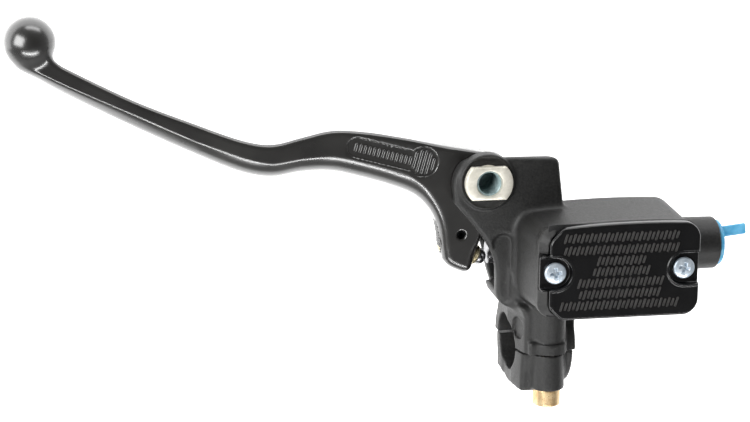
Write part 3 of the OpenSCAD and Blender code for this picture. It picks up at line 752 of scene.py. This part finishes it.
def lever_field(x, y, z):
    """The forging: the outline made thick, its rounding large along the lower edge of the
    blade, blended into the ball, with eye, screw holes and the pill recess."""
    blade = 1 - ease(x, -52, -34)
    fall = 0.27 * blade * (1.6 - z)
    flat = outline(x, y + fall, LEVER_LINE)
    centre = np.interp(x, [-192, -172, -151, -130, -102, -80, -57, -42, -30],
                       [110, 101.5, 92.9, 83, 74.2, 77.2, 72.8, 62, 40])
    lower = ease(centre - y - fall, -2.5, 3.5)
    r = 2.0 + 0.3 * blade + 3.4 * lower * (0.4 + 0.6 * blade)
    half = LEVER_HALF - 1.3 * (1 - ease(x, -175, -70))
    a = flat + r
    b = np.abs(z) - half + r
    d = np.minimum(np.maximum(a, b), 0) + np.hypot(np.maximum(a, 0), np.maximum(b, 0)) - r
    eye = extrude(np.hypot(x - PIVOT[0], y - PIVOT[1]) - EYE_R, z, -LEVER_HALF, LEVER_HALF, 1.0)
    d = np.minimum(d, eye)
    lean = y - 75.7 + 0.08 * (1 - blade) * (LEVER_HALF - z) - 0.22 * (PIVOT[0] - x)
    d = meet(d, np.where(x > -60, lean, -9), 1.0)
    ball = np.sqrt((x - BALL[0]) ** 2 + (y - BALL[1]) ** 2 + z ** 2) - BALL_R
    d = join(d, ball, 2.5 + 5.0 * lower)
    d = np.maximum(d, 7.4 - np.hypot(x - PIVOT[0], y - PIVOT[1]))
    # adjuster hole along its tilted axis
    along = (x - TIP[0]) * math.cos(TILT) - (y - TIP[1]) * math.sin(TILT)
    across = (x - TIP[0]) * math.sin(TILT) + (y - TIP[1]) * math.cos(TILT)
    d = cut(d, extrude(np.hypot(across, z) - 3.95, along, -26, 10, 0.1), 0.6)
    d = cut(d, extrude(np.hypot(x + 31.3, y - 44.3) - 1.62, z, -1, 20, 0.1), 0.7)
    # shallow pill recess with a larger round end
    c, s = math.cos(PILL_TURN), math.sin(PILL_TURN)
    u, v = (x - PILL[0]) * c + (y - PILL[1]) * s, -(x - PILL[0]) * s + (y - PILL[1]) * c
    pill = np.minimum(rect(u + 2.0, v, 16.6, 3.8, 3.75),
                      np.hypot(u - ROUND_END[0], v - ROUND_END[1]) - 5.6)
    return cut(d, extrude(pill, z, LEVER_HALF - RECESS, 20, 0.15), 0.35)


def plug_field(x, y, z):
    """The transit plug: a stem, a round flange, a short neck and a pull tab of angle section."""
    axis = np.hypot(y - CYL_Y, z)
    d = extrude(axis - 4.0, x, 62, 71, 0.6)
    d = np.minimum(d, extrude(axis - 8.7, x, OUTLET_X + 0.3, OUTLET_X + 1.8, 0.5))
    d = join(d, extrude(axis - 5.0, x, OUTLET_X + 1.5, OUTLET_X + 3.2, 0.5), 0.8)
    c, s = math.cos(math.radians(6)), math.sin(math.radians(6))
    u, v = (x - OUTLET_X - 2.4) * c + (y - 38.4) * s, -(x - OUTLET_X - 2.4) * s + (y - 38.4) * c
    web = extrude(rect(v - 2.3, z - 2.6, 1.9, 0.6, 0.3), u, -2.0, 9.7, 0.4)
    leg = extrude(rect(v - 0.6, z - 1.0, 0.6, 2.1, 0.3), u, -2.0, 9.6, 0.4)
    return join(d, join(web, leg, 0.4), 0.8)


def clamp_bolt_field(x, y, z):
    """A socket head: a plated cylinder with eased edges and a hexagon socket in its end."""
    away = np.hypot(x, z)
    d = extrude(away - SOCKET_HEAD_R, y, BOLT_END, -14.0, 0.5)
    d = join(d, extrude(away - 3.0, y, -15, 11, 0.3), 0.2)
    angle = np.mod(np.arctan2(z, x), math.pi / 3) - math.pi / 6
    hexagon = away * np.cos(angle) - 2.5
    return cut(d, extrude(hexagon + 0 * y, y, BOLT_END - 5, BOLT_END + 3.2, 0.1), 0.4)


def screw_field(turn):
    """The field of a cross-recess pan head with its lower edge on the pocket floor."""
    top = CAP_Z - 0.2

    def field(x, y, z):
        """Distance to the head: a domed disc less two crossed slots that narrow downwards."""
        away = np.hypot(x, y)
        d = extrude(away - SCREW_HEAD_R, z, top - 2.2, top, 0.7)
        dome = np.sqrt(away ** 2 + (z - top + 12) ** 2) - 12
        d = meet(d, dome, 0.5)
        u = np.abs(x * math.cos(turn) + y * math.sin(turn))
        v = np.abs(y * math.cos(turn) - x * math.sin(turn))
        fall = np.clip(top - z, 0, 2)
        slot = np.minimum(np.maximum(v - 0.62 + 0.16 * fall, u - 2.3 + 0.7 * fall),
                          np.maximum(u - 0.62 + 0.16 * fall, v - 2.3 + 0.7 * fall))
        slot = np.minimum(slot, away - 1.05 + 0.35 * fall)
        return cut(d, np.maximum(slot, top - 1.5 - z), 0.25)
    return field


def nut_field(x, y, z):
    """A hexagon nut with both faces chamfered by a cone, bored for the bolt."""
    low, high = span("pivot_nut")
    away = np.hypot(x - PIVOT[0], y - PIVOT[1])
    angle = np.mod(np.arctan2(y - PIVOT[1], x - PIVOT[0]), math.pi / 3) - math.pi / 6
    flat = away * np.cos(angle) - 5.53
    mid = (low[2] + high[2]) / 2
    d = extrude(flat + 0 * z, z, low[2], high[2], 0.2)
    cone = (away - 6.2) * 0.5 + (np.abs(z - mid) - (high[2] - low[2]) / 2 + 0.5) * 0.87
    return np.maximum(np.maximum(d, cone), 4.02 - away)


# ---------------------------------------------------------------- turned and threaded parts
def thread(r, depth, pitch, length, around=48, per_turn=12, chamfer=0.8):
    """A screw thread's surface over turn angle and length: the radius falls by depth in a
    rounded V once each pitch, the V's place advances with the angle, and the radius tapers off
    at both ends. Returns the radius, distance and angle arrays."""
    rows = int(length / pitch * per_turn) + 1
    s = np.linspace(0, length, rows)[:, None]
    angle = np.linspace(0, 2 * math.pi, around, endpoint=False)[None]
    phase = np.mod(s / pitch - angle / (2 * math.pi), 1.0)
    radius = r - depth * (0.5 + 0.5 * np.cos(2 * math.pi * phase)) ** 0.8
    return np.minimum(radius, r - chamfer + np.minimum(s, length - s)), s + 0 * angle, angle


def on_axis(radius, s, angle, origin, axis):
    """Points at a radius and distance from an origin, round an axis direction."""
    w = Vector(axis).normalized()
    q = w.to_track_quat("Z", "Y").to_matrix()
    u, v = np.array(q.col[0]), np.array(q.col[1])
    ring = radius[..., None] * (np.cos(angle)[..., None] * u + np.sin(angle)[..., None] * v)
    return np.asarray(origin, float) + ring + s[..., None] * np.array(w)


def capped(points):
    """A tube of rings closed by drawing its first and last ring in to their middles."""
    first = np.repeat(points[:1].mean(1, keepdims=True), points.shape[1], 1)
    last = np.repeat(points[-1:].mean(1, keepdims=True), points.shape[1], 1)
    return grid(np.concatenate([first, points, last]), wrap_v=True)


def adjuster():
    """The adjuster's threaded rod on its tilted axis, with a round socket in its outer end."""
    radius, s, angle = thread(ROD_R, 0.42, 1.0, 15.4)
    s = s + 0.2
    end_s = np.array([15.6, 15.6, 12.6])[:, None] + 0 * angle
    end_r = np.array([2.9, 2.3, 2.1])[:, None] + 0 * angle
    axis = (-math.cos(TILT), math.sin(TILT), 0)
    rings = on_axis(np.vstack([radius, end_r]), np.vstack([s, end_s]),
                    np.broadcast_to(angle, (len(radius) + 3, angle.shape[1])), TIP, axis)
    return capped(rings)


def adjuster_tip():
    """The adjuster's ball-shaped tip: an arc turned round the screw's tilted axis, with a
    short neck into the rod."""
    angle = np.linspace(0, 2 * math.pi, 48, endpoint=False)[None]
    polar = np.linspace(0.02, 1.7, 16)[:, None]
    radius = np.vstack([3.2 * np.sin(polar) + 0 * angle, 2.9 + 0 * angle])
    s = np.vstack([-3.2 * np.cos(polar) + 0 * angle, 1.4 + 0 * angle])
    axis = (-math.cos(TILT), math.sin(TILT), 0)
    return capped(on_axis(radius, s, np.broadcast_to(angle, radius.shape), TIP, axis))


def pivot_bolt():
    """The pivot bolt: a stepped shank, a round head with two flats, and a blind threaded bore
    with a chamfered mouth. Every ring is a radius that depends on the turn angle."""
    around = 144
    angle = np.linspace(0, 2 * math.pi, around, endpoint=False)[None]
    head = join(8.9 + 0 * angle, 6.15 / np.maximum(np.abs(np.sin(angle)), 0.05), 0.3)
    base, top = EAR_HALF + 0.8, HEAD_TOP
    z0 = span("pivot_bolt")[0][2]
    one = 1 + 0 * angle
    rings = [(3.2 * one, z0), (4.0 * one, z0 + 0.8), (4.0 * one, -SLOT_HALF),
             (6.5 * one, -SLOT_HALF), (6.5 * one, base), (head - 0.15, base),
             (head, base + 0.15), (head, top - 0.5), (head - 0.12, top - 0.2),
             (head - 0.5, top), (5.1 * one, top), (4.95 * one, top - 0.06),
             (4.6 * one, top - 1.0), (4.6 * one, -1.4)]
    radius = np.vstack([r for r, _ in rings])
    s = np.vstack([z + 0 * angle for _, z in rings])
    turn = np.broadcast_to(angle, radius.shape)
    return capped(on_axis(radius, s, turn, (PIVOT[0], PIVOT[1], 0), (0, 0, 1)))


def pivot_thread():
    """The mirror thread inside the pivot bolt: a liner whose inner side is the thread and
    whose outer side lies against the bolt, closed below."""
    top = HEAD_TOP - 1.1
    angle = np.linspace(0, 2 * math.pi, 96, endpoint=False)[None]
    bore_r, bore_s, _ = thread(4.45, 0.45, 1.25, 13.0, 96, 12, 0.0)
    one = 1 + 0 * angle
    radius = np.vstack([4.58 * one, 4.58 * one, np.clip(bore_r, 4.0, 4.45)])
    s = np.vstack([(top - 13.6) * one, top * one, top - bore_s])
    turn = np.broadcast_to(angle, radius.shape)
    return capped(on_axis(radius, s, turn, (PIVOT[0], PIVOT[1], 0), (0, 0, 1)))


def boot():
    """The dust boot: a flange in the counterbore, folds whose radius swings like a rounded
    wave, and a thick lip on the push rod; a wall of rubber with an inside."""
    low, high = span("dust_boot")
    s = np.linspace(0, 1, 60)
    x = low[0] + 1.6 + s * (high[0] - 2.0 - low[0] - 1.6)
    wave = 6.5 - 0.95 * np.cos(6 * math.pi * s)
    outer = np.vstack([[(3.3, low[0] + 0.3), (3.6, low[0]), (5.1, low[0]), (5.4, low[0] + 0.3)],
                       np.stack([wave, x], 1),
                       [(8.9, high[0] - 2.0), (8.95, high[0] - 0.1), (5.6, high[0])]])
    inner = np.stack([wave - 0.85, x], 1)[::-1]
    profile = np.vstack([outer, inner, [(3.3, low[0] + 1.4), (3.3, low[0] + 0.3)]])
    return turned(profile, (0, CYL_Y, 0), "x", 72)


def coil():
    """The return spring: a circle carried along a helix, its last turn at each end closed up
    flat."""
    low, high = span("return_spring")
    wire, turns = 0.6, 6
    t = np.linspace(0, 1, turns * 40)[:, None]
    b = np.linspace(0, 2 * math.pi, 10, endpoint=False)[None]
    a = 2 * math.pi * turns * t
    r = 5.0 + wire * np.cos(b)
    x = low[0] + wire + (high[0] - low[0] - 2 * wire) * ease(t, -0.05, 1.05) + wire * np.sin(b)
    points = np.stack([x, CYL_Y + r * np.cos(a), r * np.sin(a)], -1)
    return capped(points)


# ---------------------------------------------------------------- low relief
def bead_loops(loops, width, height):
    """Raised beads along closed flat loops: a half-round section carried round each. A loop is
    points (n, 2); the result has a third coordinate, height above the face."""
    parts = []
    across = np.array([-1.0, -0.7, 0.0, 0.7, 1.0])
    lift = np.array([-0.25, 0.75, 1.0, 0.75, -0.25])
    for loop in loops:
        step = np.roll(loop, -1, 0) - np.roll(loop, 1, 0)
        normal = np.stack([step[:, 1], -step[:, 0]], 1) / np.linalg.norm(step, axis=1)[:, None]
        flat = loop[:, None] + normal[:, None] * (across * width / 2)[None, :, None]
        points = np.concatenate([flat, np.broadcast_to((lift * height)[None, :, None],
                                                       (*flat.shape[:2], 1))], -1)
        parts.append(grid(points, wrap_u=True))
    return merged(*parts)


def stadium(cx, cy, length, width, steps=8):
    """A closed loop with straight sides and round ends, about (cx, cy)."""
    r = min(length, width) / 2
    half_u, half_v = length / 2 - r, width / 2 - r
    t = np.linspace(0, math.pi / 2, max(steps // 2, 3))
    arc = np.stack([r * np.cos(t), r * np.sin(t)], 1)
    quarter = np.array([[0, 1], [-1, 0]])
    spin, parts = np.eye(2), []
    for su, sv in ((1, 1), (-1, 1), (-1, -1), (1, -1)):
        parts.append(arc @ spin + (su * max(half_u, 0.005), sv * max(half_v, 0.005)))
        spin = spin @ quarter
    return np.vstack(parts) + (cx, cy)


def cap_relief():
    """Low moulded tread on the cap: rows of short leaning bars of two lengths, standing in
    rows between the two pockets."""
    rows = [(13.2, 44), (8.6, 44), (4.4, 19), (0.4, 22), (-3.8, 33), (-8.0, 32), (-12.2, 46)]
    lean = np.array([[1.0, 0.0], [0.32, 1.0]])
    loops = []
    for number, (offset, wide) in enumerate(rows):
        places = np.arange(-wide / 2 + 0.8, wide / 2 - 0.7, 1.55)
        for k, place in enumerate(places):
            bar = stadium(0, 0, 0.5, (3.3, 2.5)[(k + number) % 2]) @ lean
            loops.append(bar + (RES_X + 0.4 + place, RES_Y - 0.3 + offset))
    verts, faces = bead_loops(loops, 0.5, 0.3)
    return verts + (0, 0, CAP_Z - 0.45), faces


def lever_relief():
    """Low relief in the lever's recess: even upright ribs along its whole length, longer where the
    recess is round and wide."""
    c, s = math.cos(PILL_TURN), math.sin(PILL_TURN)
    loops = []
    for place in np.arange(-15.4, 15.0, 1.75):
        reach = math.sqrt(max(4.5 ** 2 - (place - ROUND_END[0]) ** 2, 0))
        wide = reach > 1.6
        loops.append(stadium(place, ROUND_END[1] if wide else 0, 0.7, 2 * reach if wide else 3.2))
    verts, faces = bead_loops(loops, 0.6, 0.5)
    u, v, w = verts.T
    x, y = PILL[0] + u * c - v * s, PILL[1] + u * s + v * c
    return np.stack([x, y, LEVER_HALF - RECESS + w], 1), faces


def lug_relief():
    """Pebbled grip patch on the lug's outer side: a sheet that follows the lug's edge, lifted
    by small round pebbles in staggered rows and fading out at its border."""
    path = smooth_curve([(-43, 54), (-39.9, 47.4), (-38.7, 39.5), (-37.9, 34.6)], 60)[40:165]
    step = np.gradient(path, axis=0)
    normal = np.stack([step[:, 1], -step[:, 0]], 1) / np.linalg.norm(step, axis=1)[:, None]
    normal = -normal if (normal[:, 0].mean() > 0) else normal
    along = np.concatenate([[0], np.cumsum(np.linalg.norm(np.diff(path, axis=0), axis=1))])
    v = np.linspace(-3.4, 3.4, 70)[None]
    a = along[:, None]
    row = np.round(a / 1.1)
    cell = np.hypot((a - row * 1.1) / 0.5, (np.mod(v + 0.65 * np.mod(row, 2) + 0.2 * np.sin(
        5 * row), 1.3) - 0.65) / 0.55)
    pebble = np.clip(1 - cell ** 2, 0, 1) ** 0.7
    fade = np.minimum(1, np.minimum(a, along[-1] - a) / 1.5) * np.minimum(1, (3.4 - np.abs(v)) / 0.8)
    lift = -0.25 + (0.3 + 0.35 * pebble) * np.clip(fade, 0, 1)
    points = np.stack([path[:, None, 0] + normal[:, None, 0] * lift,
                       path[:, None, 1] + normal[:, None, 1] * lift, v + 0 * a], -1)
    return grid(points)


# ---------------------------------------------------------------- pieces
STEP = 0.5
low, high = span("body")
make("body_casting", shell(body_field, low - 1.5, high + 1.5, STEP), CAST, "housing",
     ["body"], crease=40, keep=0.55)
low, high = span("clamp_cap")
make("clamp_cap_casting", shell(clamp_cap_field, low - 1.5, high + 1.5, 0.45), CAST, "housing",
     ["clamp_cap"], crease=40, keep=0.6)
make("cap_moulding", shell(cap_field, CAP[0] - 1, CAP[1] + 1, 0.3), MOULDED, "housing",
     ["reservoir_cap"], crease=40, keep=0.5)
# the tread's strokes carry the paler painted-highlight colour
make("cap_tread", cap_relief(), STROKE_SHEEN, "housing", crease=60)
low, high = span("lever")
make("lever_forging", shell(lever_field, low - 1.5, high + 1.5, 0.9 * STEP), ENAMEL, "lever",
     ["lever"], crease=45, keep=0.7)
make("lever_recess_ribs", lever_relief(), ENAMEL, "lever", crease=60)
make("lever_grip_pebbles", lug_relief(), ENAMEL, "lever", crease=80)
make("pivot_bolt_plated", pivot_bolt(), CREAM, "housing", ["pivot_bolt"], crease=35)
make("pivot_bore_thread", pivot_thread(), TEAL, "housing", crease=50, fix=True)
low, high = span("pivot_nut")
make("pivot_nut_plated", shell(nut_field, low - 1, high + 1, 0.3), ZINC, "housing",
     ["pivot_nut"], crease=30)
make("adjuster_threaded", adjuster(), PALE, "lever", ["adjuster_screw"],
     crease=50, fix=True)
make("adjuster_ball_tip", adjuster_tip(), STEEL, "lever", crease=50, fix=True)

head = shell(clamp_bolt_field, (-6, BOLT_END - 1, -6), (6, 12, 6), 0.28)
make("clamp_bolts_plated", merged(*[(head[0] + (BOLT_X, 0, z), head[1])
                                    for z in (BOLT_Z, -BOLT_Z)]),
     YELLOW, "housing", ["clamp_bolts"], crease=40)
screws = []
for place, turn in zip(SCREW_X, (0.12, -0.25)):
    verts, faces = shell(screw_field(turn), (-4.6, -4.6, CAP_Z - 3), (4.6, 4.6, CAP_Z + 0.6), 0.13)
    screws.append((verts + (place, RES_Y, 0), faces))
    screws.append(turned([(0, CAP_Z - 2.3), (2, CAP_Z - 2.3), (2, RIM_Z - 9.5), (1.5, RIM_Z - 10),
                          (0, RIM_Z - 10)], (place, RES_Y, 0), "z", 32))
make("cap_screws_plated", merged(*screws), ZINC, "housing", ["cap_screws"], crease=35)

low, high = span("outlet_plug")
make("plug_moulding", shell(plug_field, low - 1, high + 1, 0.3), BLUE, "plug",
     ["outlet_plug"], crease=40)
rubber_boot = make("boot_bellows", boot(), RUBBER, "housing", ["dust_boot"], crease=60,
                   fix=True)
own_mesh(rubber_boot)
spring = make("return_coil", coil(), STEEL, "housing", ["return_spring"],
              crease=80, fix=True)
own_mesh(spring)

rim_y = span("sight_glass_ring")
profile = rounded([(5.6, rim_y[1][1]), (7.0, rim_y[1][1]), (7.0, rim_y[0][1] + 0.1),
                   (6.6, rim_y[0][1]), (5.9, rim_y[0][1]), (5.6, rim_y[0][1] + 0.3),
                   (5.6, rim_y[1][1])], 0.2)
make("sight_ring_moulded", turned(profile, (GLASS[0], 0, GLASS[2]), "y"), RUBBER, "housing",
     ["sight_glass_ring"], crease=50, fix=True)
glass_y = span("sight_glass")
t = np.linspace(0, 1, 12)[:, None]
dome = np.hstack([5.6 * t, glass_y[0][1] - 0.5 * (1 - t ** 2)])
lens = np.vstack([dome, [(7.0, glass_y[0][1]), (7.0, glass_y[1][1]), (0, glass_y[1][1])]])
make("sight_lens", turned(lens, (GLASS[0], 0, GLASS[2]), "y"), LENS, "housing",
     ["sight_glass"], crease=50, fix=True)

# CAD pieces whose own shape is right take a finished material
for node, mat in {"diaphragm": RUBBER, "diaphragm_plate": NYLON, "pivot_washer": ZINC,
                  "snap_ring": STEEL, "stop_washer": ZINC, "lever_bush": BRONZE,
                  "lock_screw": BLACKED, "piston": TURNED, "push_rod": STEEL,
                  "primary_cup": RUBBER, "secondary_cup": RUBBER, "spring_seat": STEEL}.items():
    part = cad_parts[node]
    part.data.materials.clear()
    part.data.materials.append(mat)


# ---------------------------------------------------------------- studio
def floor():
    """A wide backlit acrylic light table, below the object: even and bright, so it fills
    undersides and grazing edges."""
    tree, shader, mat = finish("backlit_white_acrylic_table", "#ffffff", Roughness=0.9)
    glow = ramp(tree, grain(tree, 60.0), (0.3, "#fcfcfc"), (0.7, "#ffffff"))
    tree.links.new(glow, shader.inputs["Base Color"])
    tree.links.new(glow, shader.inputs["Emission Color"])
    shader.inputs["Emission Strength"].default_value = 0.8
    size = 6.0
    level = CAD_BOX[0][2] - 0.03
    mesh = bpy.data.meshes.new("backdrop")
    mesh.from_pydata([(-size, -size, level), (size, -size, level), (size, size, level),
                      (-size, size, level)], [], [(0, 1, 2, 3)])
    obj = bpy.data.objects.new("backdrop", mesh)
    mesh.materials.append(mat)
    bpy.context.scene.collection.objects.link(obj)


def softbox(name, place, target, wide, high, power):
    """A rectangular area light at place, facing target, in metres."""
    data = bpy.data.lights.new(name, "AREA")
    data.shape, data.size, data.size_y, data.energy = "RECTANGLE", wide, high, power
    obj = bpy.data.objects.new(name, data)
    aim = Vector(target) - Vector(place)
    obj.matrix_world = Matrix.Translation(place) @ aim.to_track_quat("-Z", "Y").to_matrix().to_4x4()
    bpy.context.scene.collection.objects.link(obj)


def surround():
    """A dim grey room, darkest straight overhead, so glossy tops stay dark."""
    world = bpy.data.worlds.new("studio")
    bpy.context.scene.world = world
    world.use_nodes = True
    tree = world.node_tree
    back = tree.nodes["Background"]
    direction = add(tree, "TexCoord").outputs["Generated"]
    up = add(tree, "SeparateXYZ", {"Vector": direction}).outputs["Z"]
    height = add(tree, "MapRange", {"Value": up}, From_Min=-0.1, From_Max=1.0).outputs["Result"]
    tree.links.new(ramp(tree, height, (0.0, "#b4b4b4"), (0.3, "#8c8c8c"), (0.6, "#7c7c7c"),
                        (0.85, "#5c5c5c")), back.inputs["Color"])
    back.inputs["Strength"].default_value = 1.2


def camera():
    """The camera, above and a little in front of the object, looking down on the reservoir."""
    eye = Vector((-0.1806, 0.2222, 0.6631))
    target = Vector((-0.0631, 0.0533, 0.0))
    back = (eye - target).normalized()
    up = Vector((0, 1, 0))
    up = (up - up.dot(back) * back).normalized()
    right = up.cross(back)
    roll = 0.005
    r = right * math.cos(roll) + up * math.sin(roll)
    u = up * math.cos(roll) - right * math.sin(roll)
    data = bpy.data.cameras.new("camera")
    data.lens, data.sensor_width = 89.28, 36.0
    data.clip_start, data.clip_end = 0.01, 100.0
    obj = bpy.data.objects.new("camera", data)
    obj.matrix_world = Matrix(((r.x, u.x, back.x, eye.x), (r.y, u.y, back.y, eye.y),
                               (r.z, u.z, back.z, eye.z), (0, 0, 0, 1)))
    bpy.context.scene.collection.objects.link(obj)
    bpy.context.scene.camera = obj


floor()
surround()
softbox("left_softbox", (-1.0, 0.35, 0.75), (-0.05, 0.05, 0), 0.8, 0.9, 17)
softbox("front_softbox", (0.2, 1.5, 0.3), (-0.05, 0.05, 0), 1.4, 0.4, 9)
softbox("rear_strip", (-0.12, -0.8, 0.95), (-0.08, 0.05, 0), 1.6, 0.12, 14)
camera()
bpy.context.scene.view_settings.view_transform = "Standard"
